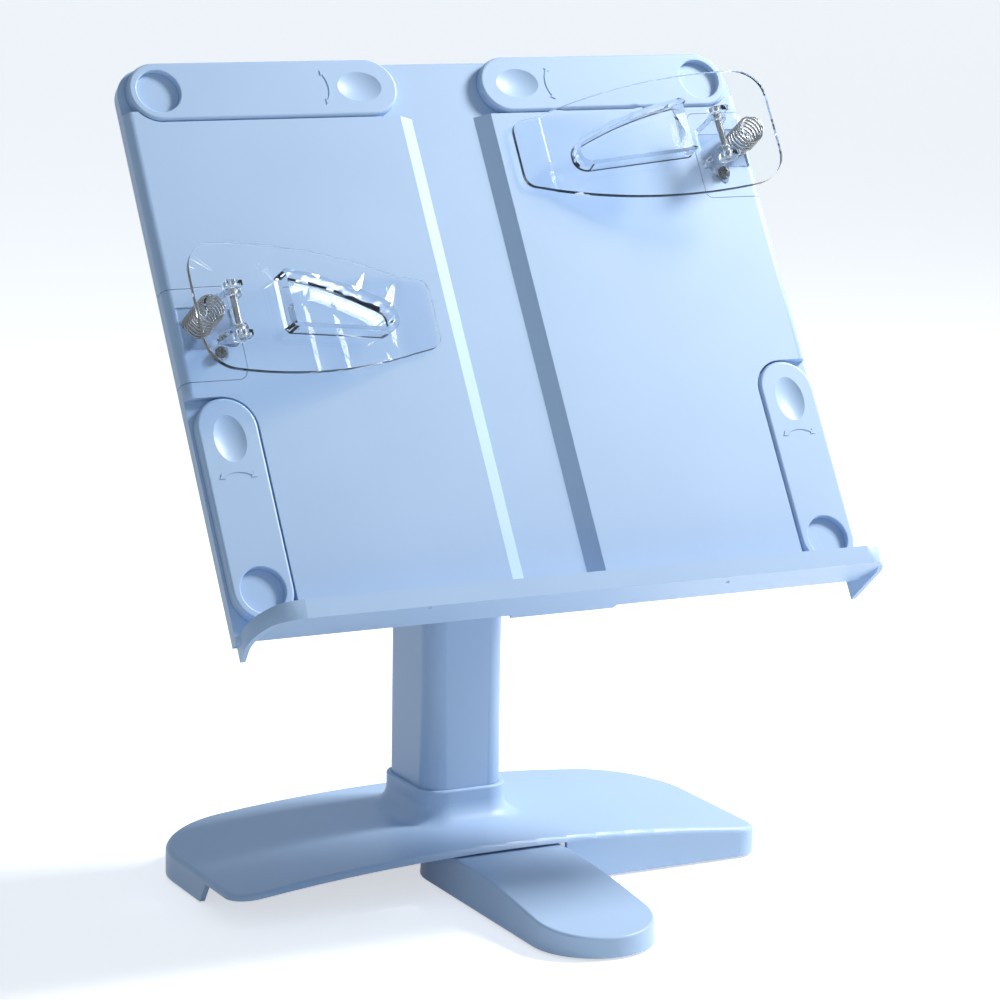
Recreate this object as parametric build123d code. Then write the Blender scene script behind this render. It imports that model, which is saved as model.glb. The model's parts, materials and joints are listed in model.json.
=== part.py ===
from build123d import *
import math
import os

# Document holder: a folding base with a telescoping column, a friction tilt hinge and a moulded page
# panel with four swinging page-stop arms and two sprung clear clips. All sizes in millimetres.
# Modelled with the origin on the desk under the column axis, +X to the right, +Y to the back, +Z up;
# written out with the origin under the middle of its overall depth.

# Base
BASE_WIDTH = 276
BASE_FRONT = 69
BASE_BACK = 51
BASE_BACK_BOW = 4
BASE_FRONT_CORNER = 13
BASE_BACK_CORNER = 42
BASE_TOP = 23.2
BASE_CROWN = 9.2
BASE_WALL = 2.6
BASE_EDGE = 3
RIB_WALL = 2
RIB_LOW = 9
END_CUT_LOW = 43
END_CUT_HIGH = 27
COLLAR_TOP = 38.6
COLLAR_WALL = 2.4
COLLAR_FLARE = 9
COLLAR_RIM = 1
SEAT_FLOOR = 2.8
SPOT_FACE = 0.4
RIB_BACK = 24
PAD_THICK = 1.2
PAD_RADIUS = 7
PAD_PLACES = [(-112, 32), (112, 32), (112, -46)]

# Front foot
FOOT_WIDTH = 58
FOOT_REACH = 107
FOOT_PIVOT = 40
FOOT_TOP = 19.3
FOOT_TIP = 10.2
FOOT_FLAT = 30
FOOT_BEND = 85
FOOT_BEND_TOP = 16.2
FOOT_DRAFT = 4
FOOT_WALL = 2.4
FOOT_GAP = 1.2
FOOT_PAD_RADIUS = 14
POST_RADIUS = 7
POST_LOW = 7
HUB_WALL = 4
WASHER_THICK = 1.2
WASHER_RADIUS = 10

# Column
COLUMN_WIDTH = 41.5
COLUMN_DEPTH = 48
COLUMN_CORNER = 10
COLUMN_WALL = 2.4
COLUMN_TOP = 172
COLUMN_FLOOR = 6
SOCKET_FIT = 0.2
BUSH_RIM = 3
BUSH_DEPTH = 22
INNER_WIDTH = 30
INNER_DEPTH = 36
INNER_CORNER = 6
INNER_WALL = 2
INNER_LOW = 88
INNER_BELOW_HINGE = 33.3
SHOE_FLOOR = 4
SHOE_HEIGHT = 16
SLIDE_FIT = 0.06
PRESS_FIT = 0.05
COLUMN_SCREW_X = 10
COLUMN_SCREW_Y = (-2, 14)

# Tilt hinge
HINGE_HEIGHT = 269.3
HEAD_WIDTH = 34
HEAD_DEPTH = 34
HEAD_RADIUS = 13
HEAD_PLUG = 20
SHAFT_RADIUS = 5
SHAFT_FIT = 0.05
FRICTION_WASHER = 1.6
FRICTION_RADIUS = 11
FACE_FIT = 0.05
CHEEK_WALL = 6
CHEEK_RADIUS = 12
CAP_THICK = 4.5
CAP_RADIUS = 9.5
CAP_EDGE = 1
BRACKET_WIDTH = 68
BRACKET_HEIGHT = 52
BRACKET_PLATE = 3
BRACKET_SCREW_U = 29
BRACKET_SCREW_V = 20

# Panel, in its own frame: u to the right, v up the board, w out of its face, w = 0 at the arms' tops
PANEL_LEAN = 31.6
PANEL_STANDOFF = 39
PANEL_DROP = 12
PANEL_WIDTH = 317
PANEL_TOP = 117.5
PANEL_CORNER = 15
PANEL_WALL = 2.6
PANEL_SKIN = 2.7
PANEL_BACK = -11
PANEL_DRAFT = 0.9
DECK = -4.8
PAGE = -0.8
PAGE_TOP = 88.6
PAGE_EDGE = 4
PAGE_CORNER_TOP = 94
CHANNEL_TOP = 47
CHANNEL_FLOOR = 32
BACK_RIB = 1.8
BACK_RIB_LOW = -9.5
BACK_RIB_V = (-112, -68, -24, 60)
BACK_RIB_U = (62, 108)
LEDGE_TOP = -153
LEDGE_WALL = 3
LEDGE_FRONT = 22
LEDGE_INSET = 3
LEDGE_FLARE = 4
LEDGE_LIP = 5.5
LEDGE_CORNER_LEFT = 22
LEDGE_CORNER_RIGHT = 11
LIP_WALL = 2.5
LIP_SLOPE_FROM = 20
CHEEK_SLOPE_FROM = 17
CHEEK_TIP = -162.5

# Swinging arms
ARM_WIDTH = 28.6
ARM_THICK = 4.5
TOP_ARM_GAP = 43.6
ARM_REACH_SIDE = 74.8
ARM_EDGE = 1.4
TOP_PIVOT_INSET = (18.5, 13.8)
SIDE_PIVOT_INSET = (16.1, 18.5)
ARM_RECESS_GAP = 0.9
DIMPLE_LENGTH = 22
DIMPLE_WIDTH = 15
DIMPLE_DEPTH = 1.6
DIMPLE_INSET = 4.9
ARROW_INSET = 20.2
ARROW_RADIUS = 13
ARROW_HALF = 7
ARROW_LINE = 0.9
ARROW_HEAD = (2.4, 1.5)
ARROW_TALL = 0.3
PIVOT_CAP_RADIUS = 10.2
PIVOT_CAP_TOP = -2.8
PIVOT_CAP_THICK = 0.7
PIVOT_RIM = 0.7
PIVOT_NECK_RADIUS = 6.4
PIVOT_FIT = 0.1

# Clips, as built on the right side; each stands on a block that slides onto the panel's edge, flush with it
SLIDER_LENGTH = 44
SLIDER_REACH = 31
SLIDER_PLATE = 2.1
SLIDER_WALL = 1.4
SLIDER_CORNER = 4
SLIDER_GAP = 0.3
SLIDER_BACKING = 2.4
SLIDER_POCKET = 0.6
SLIDER_ABOVE_ARM = 30.4
SLIDER_RIGHT = 63
CLIP_OFFSET = 3
CLIP_PIVOT_INSET = 24.5
CLIP_PIVOT_HEIGHT = 15.2
BRACKET_BASE = 2
LUG_INNER = 7
LUG_WALL = 3
LUG_RADIUS = 4
PIN_RADIUS = 1.5
PIN_FIT = 0.05
EAR_GAP = 0.5
EAR_WALL = 2.6
LEVER_WALL = 2.6
LEVER_REACH = 102.5
LEVER_OVERHANG = 22.5
LEVER_BEND_FROM_JAW = 14.5
LEVER_BROAD_INSET = 12
LEVER_JAW_HALF = 16
LEVER_HALF = 30.5
LEVER_JAW_CORNER = 6
LEVER_TAIL_CORNER = 15
LEVER_SIDE_RADIUS = 255
LEVER_LOW = -0.4
LEVER_SLOPE = 13
RIB_FRAME_TALL = 3.4
RIB_FRAME_WALL = 2
RIB_FRAME_TAIL_INSET = 26
RIB_FRAME_HALF = 14
RIB_FRAME_NOSE_INSET = 4.5
RIB_FRAME_FALL = (5, 15)
RIB_FRAME_CORNERS = (3, 7)
RIB_FRAME_OFFSET = 1.5
CLIP_SCREW_OFFSET = (5, -13)

# Clip spring
SPRING_FROM_PIVOT = 13.5
SPRING_RADIUS = 6
SPRING_WIRE = 1.1
SPRING_TURNS = 7.5
SPRING_SEAT = 4.9
SPRING_SEAT_TALL = 2.2

# Screws
SCREW_RADIUS = 1.5
SCREW_HEAD_RADIUS = 3.6
SCREW_HEAD = 2.2
SCREW_FIT = 0.15
SMALL_SCREW_RADIUS = 1
SMALL_SCREW_HEAD = 1.8
SMALL_SCREW_HEAD_RADIUS = 2.7

# Values worked out from the driving dimensions
BASE_HALF = BASE_WIDTH / 2
CROWN_RADIUS = (BASE_HALF**2 + BASE_CROWN**2) / (2 * BASE_CROWN)
SEAT = BASE_TOP - BASE_WALL + SEAT_FLOOR
INNER_TOP = HINGE_HEIGHT - INNER_BELOW_HINGE
COLUMN_SCREW_SEAT = SEAT - SEAT_FLOOR + SPOT_FACE
FOOT_RADIUS = FOOT_WIDTH / 2
DEPTH_SHIFT = (FOOT_PIVOT + FOOT_REACH + FOOT_RADIUS - BASE_BACK) / 2
PANEL_HALF = PANEL_WIDTH / 2
DECK_BACK = DECK - PANEL_SKIN
PAGE_BACK = PAGE - PANEL_SKIN
ARM_RADIUS = ARM_WIDTH / 2
TOP_PIVOT = (PANEL_HALF - TOP_PIVOT_INSET[0], PANEL_TOP - TOP_PIVOT_INSET[1])
SIDE_PIVOT = (PANEL_HALF - SIDE_PIVOT_INSET[0], LEDGE_TOP + SIDE_PIVOT_INSET[1])
ARM_REACH_TOP = TOP_PIVOT[0] - ARM_RADIUS - TOP_ARM_GAP / 2
CHEEK_INNER = HEAD_WIDTH / 2 + FRICTION_WASHER + 2 * FACE_FIT
CHEEK_OUTER = CHEEK_INNER + CHEEK_WALL
BRACKET_TOP = DECK_BACK - 2.1
BRACKET_BACK = BRACKET_TOP - BRACKET_PLATE
SLIDER_LEFT = SIDE_PIVOT[1] + ARM_REACH_SIDE + ARM_RADIUS + SLIDER_ABOVE_ARM
SLIDER_FLOOR = PAGE - SLIDER_PLATE
POCKET_FLOOR = PAGE - SLIDER_POCKET
BRACKET_FLOOR = POCKET_FLOOR + BRACKET_BASE
CLIP_PIVOT = (PANEL_HALF - CLIP_PIVOT_INSET, CLIP_PIVOT_HEIGHT)
CLIP_SCREW = (CLIP_PIVOT[0] + CLIP_SCREW_OFFSET[0], CLIP_OFFSET + CLIP_SCREW_OFFSET[1])
LEVER_JAW = CLIP_PIVOT[0] - LEVER_REACH
LEVER_TAIL = CLIP_PIVOT[0] + LEVER_OVERHANG
LEVER_BEND = LEVER_JAW + LEVER_BEND_FROM_JAW
LEVER_BROAD = CLIP_PIVOT[0] - LEVER_BROAD_INSET
RIB_FRAME_TAIL = CLIP_PIVOT[0] - RIB_FRAME_TAIL_INSET
RIB_FRAME_NOSE = LEVER_BEND + RIB_FRAME_NOSE_INSET
SPRING_U = CLIP_PIVOT[0] + SPRING_FROM_PIVOT
EAR_INNER = LUG_INNER + LUG_WALL + EAR_GAP
SPRING_LOW = BRACKET_FLOOR + SPRING_WIRE / 2
LEVER_RISE = math.tan(math.radians(LEVER_SLOPE))
SPRING_HIGH = LEVER_LOW + (SPRING_U - SPRING_RADIUS - LEVER_BEND) * LEVER_RISE - SPRING_WIRE

# The panel frame hangs on the hinge axis and leans back
LEAN = math.radians(PANEL_LEAN)
UP_BOARD = Vector(0, math.sin(LEAN), math.cos(LEAN))
OUT_OF_FACE = Vector(0, -math.cos(LEAN), math.sin(LEAN))
PANEL_ORIGIN = Vector(0, 0, HINGE_HEIGHT) - UP_BOARD * PANEL_DROP + OUT_OF_FACE * PANEL_STANDOFF
PANEL_PLACE = Location(Plane(origin=PANEL_ORIGIN, x_dir=(1, 0, 0), z_dir=OUT_OF_FACE))


def prism_x(points, low, high):
    """Solid between two X planes from (y, z) points."""
    face = make_face(Polyline(*[(low, y, z) for y, z in points], close=True))
    return extrude(face, high - low, dir=(1, 0, 0))


def prism_y(points, low, high):
    """Solid between two Y planes from (x, z) points."""
    face = make_face(Polyline(*[(x, low, z) for x, z in points], close=True))
    return extrude(face, high - low, dir=(0, 1, 0))


def prism_z(face, low, high):
    """Solid between two Z planes from a flat face on the XY plane."""
    return Pos(0, 0, low) * extrude(face, high - low, dir=(0, 0, 1))


def block(x, y, z):
    """Box given by its three (low, high) ranges."""
    box = Box(x[1] - x[0], y[1] - y[0], z[1] - z[0], align=(Align.MIN, Align.MIN, Align.MIN))
    return Pos(x[0], y[0], z[0]) * box


def post(x, y, radius, low, high):
    """Round post parallel to Z."""
    return Pos(x, y, low) * Cylinder(radius, high - low, align=(Align.CENTER, Align.CENTER, Align.MIN))


def rod_x(y, z, radius, low, high):
    """Round rod parallel to X."""
    rod = Cylinder(radius, high - low, align=(Align.CENTER, Align.CENTER, Align.MIN))
    return Pos(low, y, z) * Rot(0, 90, 0) * rod


def rod_y(x, z, radius, low, high):
    """Round rod parallel to Y."""
    rod = Cylinder(radius, high - low, align=(Align.CENTER, Align.CENTER, Align.MIN))
    return Pos(x, low, z) * Rot(-90, 0, 0) * rod


def tube_section(width, depth, corner, low, high, grow=0.0):
    """Upright rounded-rectangular bar, its section grown by a clearance."""
    section = RectangleRounded(width + 2 * grow, depth + 2 * grow, corner + grow)
    return prism_z(section, low, high)


def screw(x, y, seat, up, radius, length, head_radius, head):
    """Round-headed screw with its head seated at a Z plane and its shank pointing up or down."""
    if up:
        return post(x, y, radius, seat, seat + length) + post(x, y, head_radius, seat - head, seat)
    return post(x, y, radius, seat - length, seat) + post(x, y, head_radius, seat, seat + head)


def base_plan(inset):
    """Outline of the base: straight front, rounded ends and a bowed back."""
    half = BASE_HALF - inset
    front = -BASE_FRONT + inset
    side_back = BASE_BACK - BASE_BACK_BOW - inset
    outline = Polyline((-half, side_back), (-half, front), (half, front), (half, side_back))
    outline += ThreePointArc((half, side_back), (0, BASE_BACK - inset), (-half, side_back))
    face = make_face(outline)
    corners = face.vertices()
    face = fillet(corners.filter_by(lambda v: v.Y < 0), BASE_FRONT_CORNER - inset)
    return fillet(face.vertices().filter_by(lambda v: abs(abs(v.X) - half) < 0.01 and v.Y > 0),
                  BASE_BACK_CORNER - inset)


def under_crown(inset):
    """Everything below the crowned top of the base, less a wall."""
    reach = BASE_HALF + BASE_EDGE
    radius = CROWN_RADIUS - inset
    centre = BASE_TOP - CROWN_RADIUS
    side = centre + math.sqrt(radius**2 - reach**2)
    low = -BASE_TOP
    back = BASE_BACK + BASE_EDGE
    outline = Polyline((reach, back, side), (reach, back, low), (-reach, back, low), (-reach, back, side))
    outline += ThreePointArc((-reach, back, side), (0, back, centre + radius), (reach, back, side))
    return extrude(make_face(outline), back + BASE_FRONT + BASE_EDGE, dir=(0, -1, 0))


def base_shell():
    body = prism_z(base_plan(0), PAD_THICK, COLLAR_TOP) & under_crown(0)
    rim = body.faces().sort_by(Axis.Z)[-1].edges()
    body = fillet(rim, BASE_EDGE)
    collar_w = COLUMN_WIDTH + 2 * COLLAR_WALL
    collar_d = COLUMN_DEPTH + 2 * COLLAR_WALL
    body += tube_section(collar_w, collar_d, COLUMN_CORNER + COLLAR_WALL, PAD_THICK + BASE_WALL, COLLAR_TOP)
    near = [e for e in body.edges() if abs(e.center().X) < collar_w and abs(e.center().Y) < collar_d]
    foot_line = [e for e in near if BASE_TOP - BASE_CROWN < e.bounding_box().max.Z < BASE_TOP + 1]
    body = fillet(foot_line, COLLAR_FLARE)
    body = fillet(body.faces().sort_by(Axis.Z)[-1].edges(), COLLAR_RIM)

    cavity = prism_z(base_plan(BASE_WALL), 0, BASE_TOP) & under_crown(BASE_WALL)
    body -= cavity
    foot_side = FOOT_RADIUS + FOOT_GAP
    front_cut = [(-BASE_FRONT - 1, 0), (-BASE_FRONT + END_CUT_LOW, 0),
                 (-BASE_FRONT + END_CUT_HIGH, BASE_TOP), (-BASE_FRONT - 1, BASE_TOP)]
    body -= prism_x(front_cut, -BASE_HALF - 1, foot_side) & under_crown(BASE_WALL)

    swing_back = -FOOT_PIVOT + FOOT_RADIUS + FOOT_GAP + RIB_WALL
    ribs = block((-BASE_HALF, BASE_HALF), (RIB_BACK, RIB_BACK + RIB_WALL), (RIB_LOW, BASE_TOP))
    ribs += block((-BASE_HALF, BASE_HALF), (swing_back, swing_back + RIB_WALL), (RIB_LOW, BASE_TOP))
    for x in (-BASE_HALF * 0.7, -BASE_HALF * 0.35, BASE_HALF * 0.35, BASE_HALF * 0.7):
        front = -BASE_FRONT if x > 0 else swing_back
        ribs += block((x - RIB_WALL / 2, x + RIB_WALL / 2), (front, BASE_BACK), (RIB_LOW, BASE_TOP))
    body += ribs & cavity

    for x, y in PAD_PLACES:
        body += post(x, y, PAD_RADIUS + RIB_WALL / 2, PAD_THICK, BASE_TOP) & under_crown(BASE_WALL / 2)
    body += post(0, -FOOT_PIVOT, POST_RADIUS, POST_LOW, BASE_TOP - BASE_WALL / 2)
    body -= post(0, -FOOT_PIVOT, SCREW_RADIUS + SCREW_FIT, POST_LOW, BASE_TOP - BASE_WALL)
    body -= tube_section(COLUMN_WIDTH, COLUMN_DEPTH, COLUMN_CORNER, SEAT, COLLAR_TOP + 1, SOCKET_FIT)
    for x, y in column_screw_places():
        hole = post(x, y, SCREW_RADIUS + 2 * SCREW_FIT, 0, SEAT + 1)
        body -= hole + post(x, y, SCREW_HEAD_RADIUS + 1, 0, COLUMN_SCREW_SEAT)
    return body


def column_screw_places():
    return [(side * COLUMN_SCREW_X, y) for side in (-1, 1) for y in COLUMN_SCREW_Y]


def base_pads():
    return Compound([post(x, y, PAD_RADIUS, 0, PAD_THICK) for x, y in PAD_PLACES])


def foot_form(inset):
    """Bullet-shaped foot with drafted sides, a flat root and a top that falls to the tip."""
    plan = SlotCenterToCenter(FOOT_REACH, FOOT_WIDTH - 2 * inset, rotation=90)
    middle = -FOOT_PIVOT - FOOT_REACH / 2
    height = FOOT_TOP - PAD_THICK
    body = Pos(0, middle, PAD_THICK) * extrude(plan, height, taper=FOOT_DRAFT)
    root = -FOOT_PIVOT + FOOT_RADIUS
    flat_end = -FOOT_PIVOT - FOOT_FLAT
    bend_end = -FOOT_PIVOT - FOOT_BEND
    tip = -FOOT_PIVOT - FOOT_REACH - FOOT_RADIUS
    start = (-FOOT_WIDTH, flat_end, FOOT_TOP - inset)
    bend = (-FOOT_WIDTH, bend_end, FOOT_BEND_TOP - inset)
    side = Polyline(bend, (-FOOT_WIDTH, tip, FOOT_TIP - inset), (-FOOT_WIDTH, tip, 0),
                    (-FOOT_WIDTH, root, 0), (-FOOT_WIDTH, root, FOOT_TOP - inset), start)
    side += TangentArc(start, bend, tangent=(0, -1, 0))
    return body & extrude(make_face(side), 2 * FOOT_WIDTH, dir=(1, 0, 0))


def front_foot():
    body = foot_form(0)
    top = [f for f in body.faces() if f.normal_at(f.center()).Z > 0.5]
    edges = [e for f in top for e in f.edges()]
    outer = [e for e in edges if sum(e.center().sub(o.center()).length < 1e-4 for o in edges) == 1]
    body = fillet(outer, FOOT_WALL / 2)
    hollow = foot_form(FOOT_WALL)
    body -= hollow
    tip_y = -FOOT_PIVOT - FOOT_REACH
    room = foot_form(FOOT_WALL / 2)
    hub = post(0, -FOOT_PIVOT, POST_RADIUS + HUB_WALL, POST_LOW + FOOT_GAP / 4, FOOT_TOP)
    boss = post(0, tip_y, FOOT_PAD_RADIUS, PAD_THICK, FOOT_TOP)
    spine = block((-RIB_WALL / 2, RIB_WALL / 2), (tip_y, -FOOT_PIVOT), (POST_LOW, FOOT_TOP))
    body += (hub + boss + spine) & room
    return body - post(0, -FOOT_PIVOT, POST_RADIUS + 2 * SHAFT_FIT, 0, FOOT_TOP + 1)


def foot_pad():
    return post(0, -FOOT_PIVOT - FOOT_REACH, FOOT_PAD_RADIUS, 0, PAD_THICK)


def foot_washer():
    ring = post(0, -FOOT_PIVOT, WASHER_RADIUS, POST_LOW - WASHER_THICK, POST_LOW)
    return ring - post(0, -FOOT_PIVOT, SCREW_RADIUS + SCREW_FIT, 0, POST_LOW)


def foot_pivot_screw():
    seat = POST_LOW - WASHER_THICK
    length = BASE_TOP - BASE_WALL - seat - 1
    return screw(0, -FOOT_PIVOT, seat, True, SCREW_RADIUS, length, SCREW_HEAD_RADIUS, SCREW_HEAD)


def outer_column():
    bar = tube_section(COLUMN_WIDTH, COLUMN_DEPTH, COLUMN_CORNER, SEAT, COLUMN_TOP)
    bar -= tube_section(COLUMN_WIDTH, COLUMN_DEPTH, COLUMN_CORNER, SEAT + COLUMN_FLOOR, COLUMN_TOP,
                        -COLUMN_WALL)
    for x, y in column_screw_places():
        bar -= post(x, y, SCREW_RADIUS + SCREW_FIT, SEAT, SEAT + COLUMN_FLOOR)
    return bar


def column_screws():
    length = SEAT + COLUMN_FLOOR - 1 - COLUMN_SCREW_SEAT
    return Compound([
        screw(x, y, COLUMN_SCREW_SEAT, True, SCREW_RADIUS, length, SCREW_HEAD_RADIUS, SCREW_HEAD)
        for x, y in column_screw_places()])


def guide_bush():
    rim = tube_section(COLUMN_WIDTH, COLUMN_DEPTH, COLUMN_CORNER, COLUMN_TOP, COLUMN_TOP + BUSH_RIM)
    rim = fillet(rim.faces().sort_by(Axis.Z)[-1].edges(), BUSH_RIM / 3)
    rim += tube_section(COLUMN_WIDTH, COLUMN_DEPTH, COLUMN_CORNER, COLUMN_TOP - BUSH_DEPTH, COLUMN_TOP,
                        -COLUMN_WALL - PRESS_FIT)
    return rim - tube_section(INNER_WIDTH, INNER_DEPTH, INNER_CORNER, COLUMN_TOP - BUSH_DEPTH,
                              COLUMN_TOP + BUSH_RIM, SLIDE_FIT)


def inner_column():
    bar = tube_section(INNER_WIDTH, INNER_DEPTH, INNER_CORNER, INNER_LOW, INNER_TOP)
    return bar - tube_section(INNER_WIDTH, INNER_DEPTH, INNER_CORNER, INNER_LOW, INNER_TOP, -INNER_WALL)


def guide_shoe():
    shoe = tube_section(COLUMN_WIDTH, COLUMN_DEPTH, COLUMN_CORNER, INNER_LOW - SHOE_FLOOR,
                        INNER_LOW + SHOE_HEIGHT, -COLUMN_WALL - SLIDE_FIT)
    return shoe - tube_section(INNER_WIDTH, INNER_DEPTH, INNER_CORNER, INNER_LOW, INNER_LOW + SHOE_HEIGHT,
                               PRESS_FIT)


def tilt_head():
    half = HEAD_WIDTH / 2
    neck = [(-HEAD_DEPTH / 2, INNER_TOP), (HEAD_DEPTH / 2, INNER_TOP),
            (HEAD_RADIUS, HINGE_HEIGHT), (-HEAD_RADIUS, HINGE_HEIGHT)]
    body = prism_x(neck, -half, half) + rod_x(0, HINGE_HEIGHT, HEAD_RADIUS, -half, half)
    body += tube_section(INNER_WIDTH, INNER_DEPTH, INNER_CORNER, INNER_TOP - HEAD_PLUG, INNER_TOP,
                         -INNER_WALL - PRESS_FIT)
    return body - rod_x(0, HINGE_HEIGHT, SHAFT_RADIUS + SHAFT_FIT, -half, half)


def tilt_shaft():
    return rod_x(0, HINGE_HEIGHT, SHAFT_RADIUS, -CHEEK_OUTER - CAP_THICK / 2, CHEEK_OUTER + CAP_THICK / 2)


def friction_washers():
    rings = []
    for side in (-1, 1):
        faces = sorted([side * (HEAD_WIDTH / 2 + FACE_FIT), side * (CHEEK_INNER - FACE_FIT)])
        ring = rod_x(0, HINGE_HEIGHT, FRICTION_RADIUS, *faces)
        rings.append(ring - rod_x(0, HINGE_HEIGHT, SHAFT_RADIUS + SHAFT_FIT, *faces))
    return Compound(rings)


def shaft_caps():
    caps = []
    for side in (-1, 1):
        faces = sorted([side * CHEEK_OUTER, side * (CHEEK_OUTER + CAP_THICK)])
        cap = rod_x(0, HINGE_HEIGHT, CAP_RADIUS, *faces)
        outer_face = cap.faces().sort_by(Axis.X)[0 if side < 0 else -1]
        cap = fillet(outer_face.edges(), CAP_EDGE)
        inner = sorted([side * CHEEK_OUTER, side * (CHEEK_OUTER + CAP_THICK / 2)])
        caps.append(cap - rod_x(0, HINGE_HEIGHT, SHAFT_RADIUS + SHAFT_FIT, *inner))
    return Compound(caps)


def bracket_screw_places():
    return [(side * BRACKET_SCREW_U, PANEL_DROP + step * BRACKET_SCREW_V)
            for side in (-1, 1) for step in (-1, 1)]


def hinge_bracket():
    half = BRACKET_WIDTH / 2
    low = PANEL_DROP - BRACKET_HEIGHT / 2
    high = PANEL_DROP + BRACKET_HEIGHT / 2
    body = block((-half, half), (low, high), (BRACKET_BACK, BRACKET_TOP))
    body = fillet(body.edges().filter_by(Axis.Z), CHEEK_WALL)
    web = [(low + CHEEK_WALL, BRACKET_BACK), (high - CHEEK_WALL, BRACKET_BACK),
           (PANEL_DROP + CHEEK_RADIUS, -PANEL_STANDOFF), (PANEL_DROP - CHEEK_RADIUS, -PANEL_STANDOFF)]
    for side in (-1, 1):
        faces = sorted([side * CHEEK_INNER, side * CHEEK_OUTER])
        body += prism_x(web, *faces) + rod_x(PANEL_DROP, -PANEL_STANDOFF, CHEEK_RADIUS, *faces)
        body -= rod_x(PANEL_DROP, -PANEL_STANDOFF, SHAFT_RADIUS + SHAFT_FIT, *faces)
    for u, v in bracket_screw_places():
        body -= post(u, v, SCREW_RADIUS + SCREW_FIT, BRACKET_BACK, BRACKET_TOP)
    return body


def bracket_screws():
    length = BRACKET_TOP - BRACKET_BACK + (PAGE_BACK - BRACKET_TOP) - 1
    return Compound([
        screw(u, v, BRACKET_BACK, True, SCREW_RADIUS, length, SCREW_HEAD_RADIUS, SCREW_HEAD)
        for u, v in bracket_screw_places()])


def arm_slot(pivot, reach, angle, grow):
    """Flat outline of an arm lying from its pivot at an angle in degrees."""
    shape = SlotCenterToCenter(reach, ARM_WIDTH + 2 * grow)
    return Pos(*pivot) * Rot(0, 0, angle) * Pos(reach / 2, 0) * shape


def arm_pivots():
    """Name, pivot, reach and rest direction of the four arms."""
    return {
        "top_arm_left": ((-TOP_PIVOT[0], TOP_PIVOT[1]), ARM_REACH_TOP, 0),
        "top_arm_right": (TOP_PIVOT, ARM_REACH_TOP, 180),
        "side_arm_left": ((-SIDE_PIVOT[0], SIDE_PIVOT[1]), ARM_REACH_SIDE, 90),
        "side_arm_right": (SIDE_PIVOT, ARM_REACH_SIDE, 90),
    }


def side_recess(side, grow):
    """Flat outline of a side arm's recess, open to the panel's edge."""
    pivot = (side * SIDE_PIVOT[0], SIDE_PIVOT[1])
    slot = arm_slot(pivot, ARM_REACH_SIDE, 90, ARM_RECESS_GAP + grow)
    low = LEDGE_TOP
    high = pivot[1] + ARM_REACH_SIDE + ARM_RADIUS + ARM_RECESS_GAP + grow
    to_edge = Rectangle(ARM_WIDTH, high - low)
    to_edge = Pos(side * (SIDE_PIVOT[0] + ARM_RADIUS), (low + high) / 2) * to_edge
    inner = SIDE_PIVOT[0] - ARM_RADIUS - ARM_RECESS_GAP - grow
    foot = Rectangle(ARM_WIDTH, pivot[1] - low)
    foot = Pos(side * (inner + ARM_RADIUS), (low + pivot[1]) / 2) * foot
    return slot + to_edge + foot


def panel_outline(inset):
    half = PANEL_HALF - inset
    low = LEDGE_TOP - LEDGE_WALL
    high = PANEL_TOP - inset
    face = Pos(0, (low + high) / 2) * Rectangle(2 * half, high - low)
    return fillet(face.vertices().group_by(Axis.Y)[-1], PANEL_CORNER - inset)


def panel_block(inset):
    """Whole thickness of the board, its edges drawn in towards the back."""
    back = Pos(0, 0, PANEL_BACK) * panel_outline(inset + PANEL_DRAFT)
    return loft([back, Pos(0, 0, PAGE) * panel_outline(inset)])


def panel_form():
    """Outer form of the board, its front edge rounded to a broad shoulder."""
    form = panel_block(0)
    return fillet(form.faces().sort_by(Axis.Z)[-1].edges().filter_by(Axis.Y), PAGE_EDGE)


def page_section(side):
    """Section of a raised page surface, sloped to the spine channel."""
    return [(side * PANEL_HALF, DECK_BACK), (side * PANEL_HALF, PAGE), (side * CHANNEL_TOP / 2, PAGE),
            (side * CHANNEL_FLOOR / 2, DECK), (side * CHANNEL_FLOOR / 2, DECK_BACK)]


def page_corner(side):
    """Outer top corner of a page surface, which follows the round end of the top arm."""
    ends = sorted([side * TOP_PIVOT[0], side * PANEL_HALF])
    corner = block(ends, (PAGE_TOP - PAGE_EDGE, PAGE_CORNER_TOP), (DECK_BACK, PAGE))
    return corner - post(side * TOP_PIVOT[0], TOP_PIVOT[1], ARM_RADIUS + ARM_RECESS_GAP, DECK, PAGE)


def page_pocket(side):
    """Flat outline of the open back of a page surface, clear of the side arm's recess."""
    low = LEDGE_TOP - LEDGE_WALL
    high = PAGE_TOP - PANEL_SKIN
    inner = CHANNEL_TOP / 2 + PANEL_SKIN
    outer = PANEL_HALF - PANEL_DRAFT - PANEL_WALL
    plan = Pos(side * (inner + outer) / 2, (low + high) / 2) * Rectangle(outer - inner, high - low)
    return plan - side_recess(side, PANEL_SKIN)


def back_ribs():
    """Crossing ribs that stiffen the back of the page surfaces."""
    half = BACK_RIB / 2
    depth = (BACK_RIB_LOW, PAGE)
    ribs = [block((-PANEL_HALF, PANEL_HALF), (v - half, v + half), depth) for v in BACK_RIB_V]
    ribs += [block((side * u - half, side * u + half), (LEDGE_TOP, PAGE_TOP), depth)
             for u in BACK_RIB_U for side in (-1, 1)]
    return ribs[0].fuse(*ribs[1:])


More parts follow.
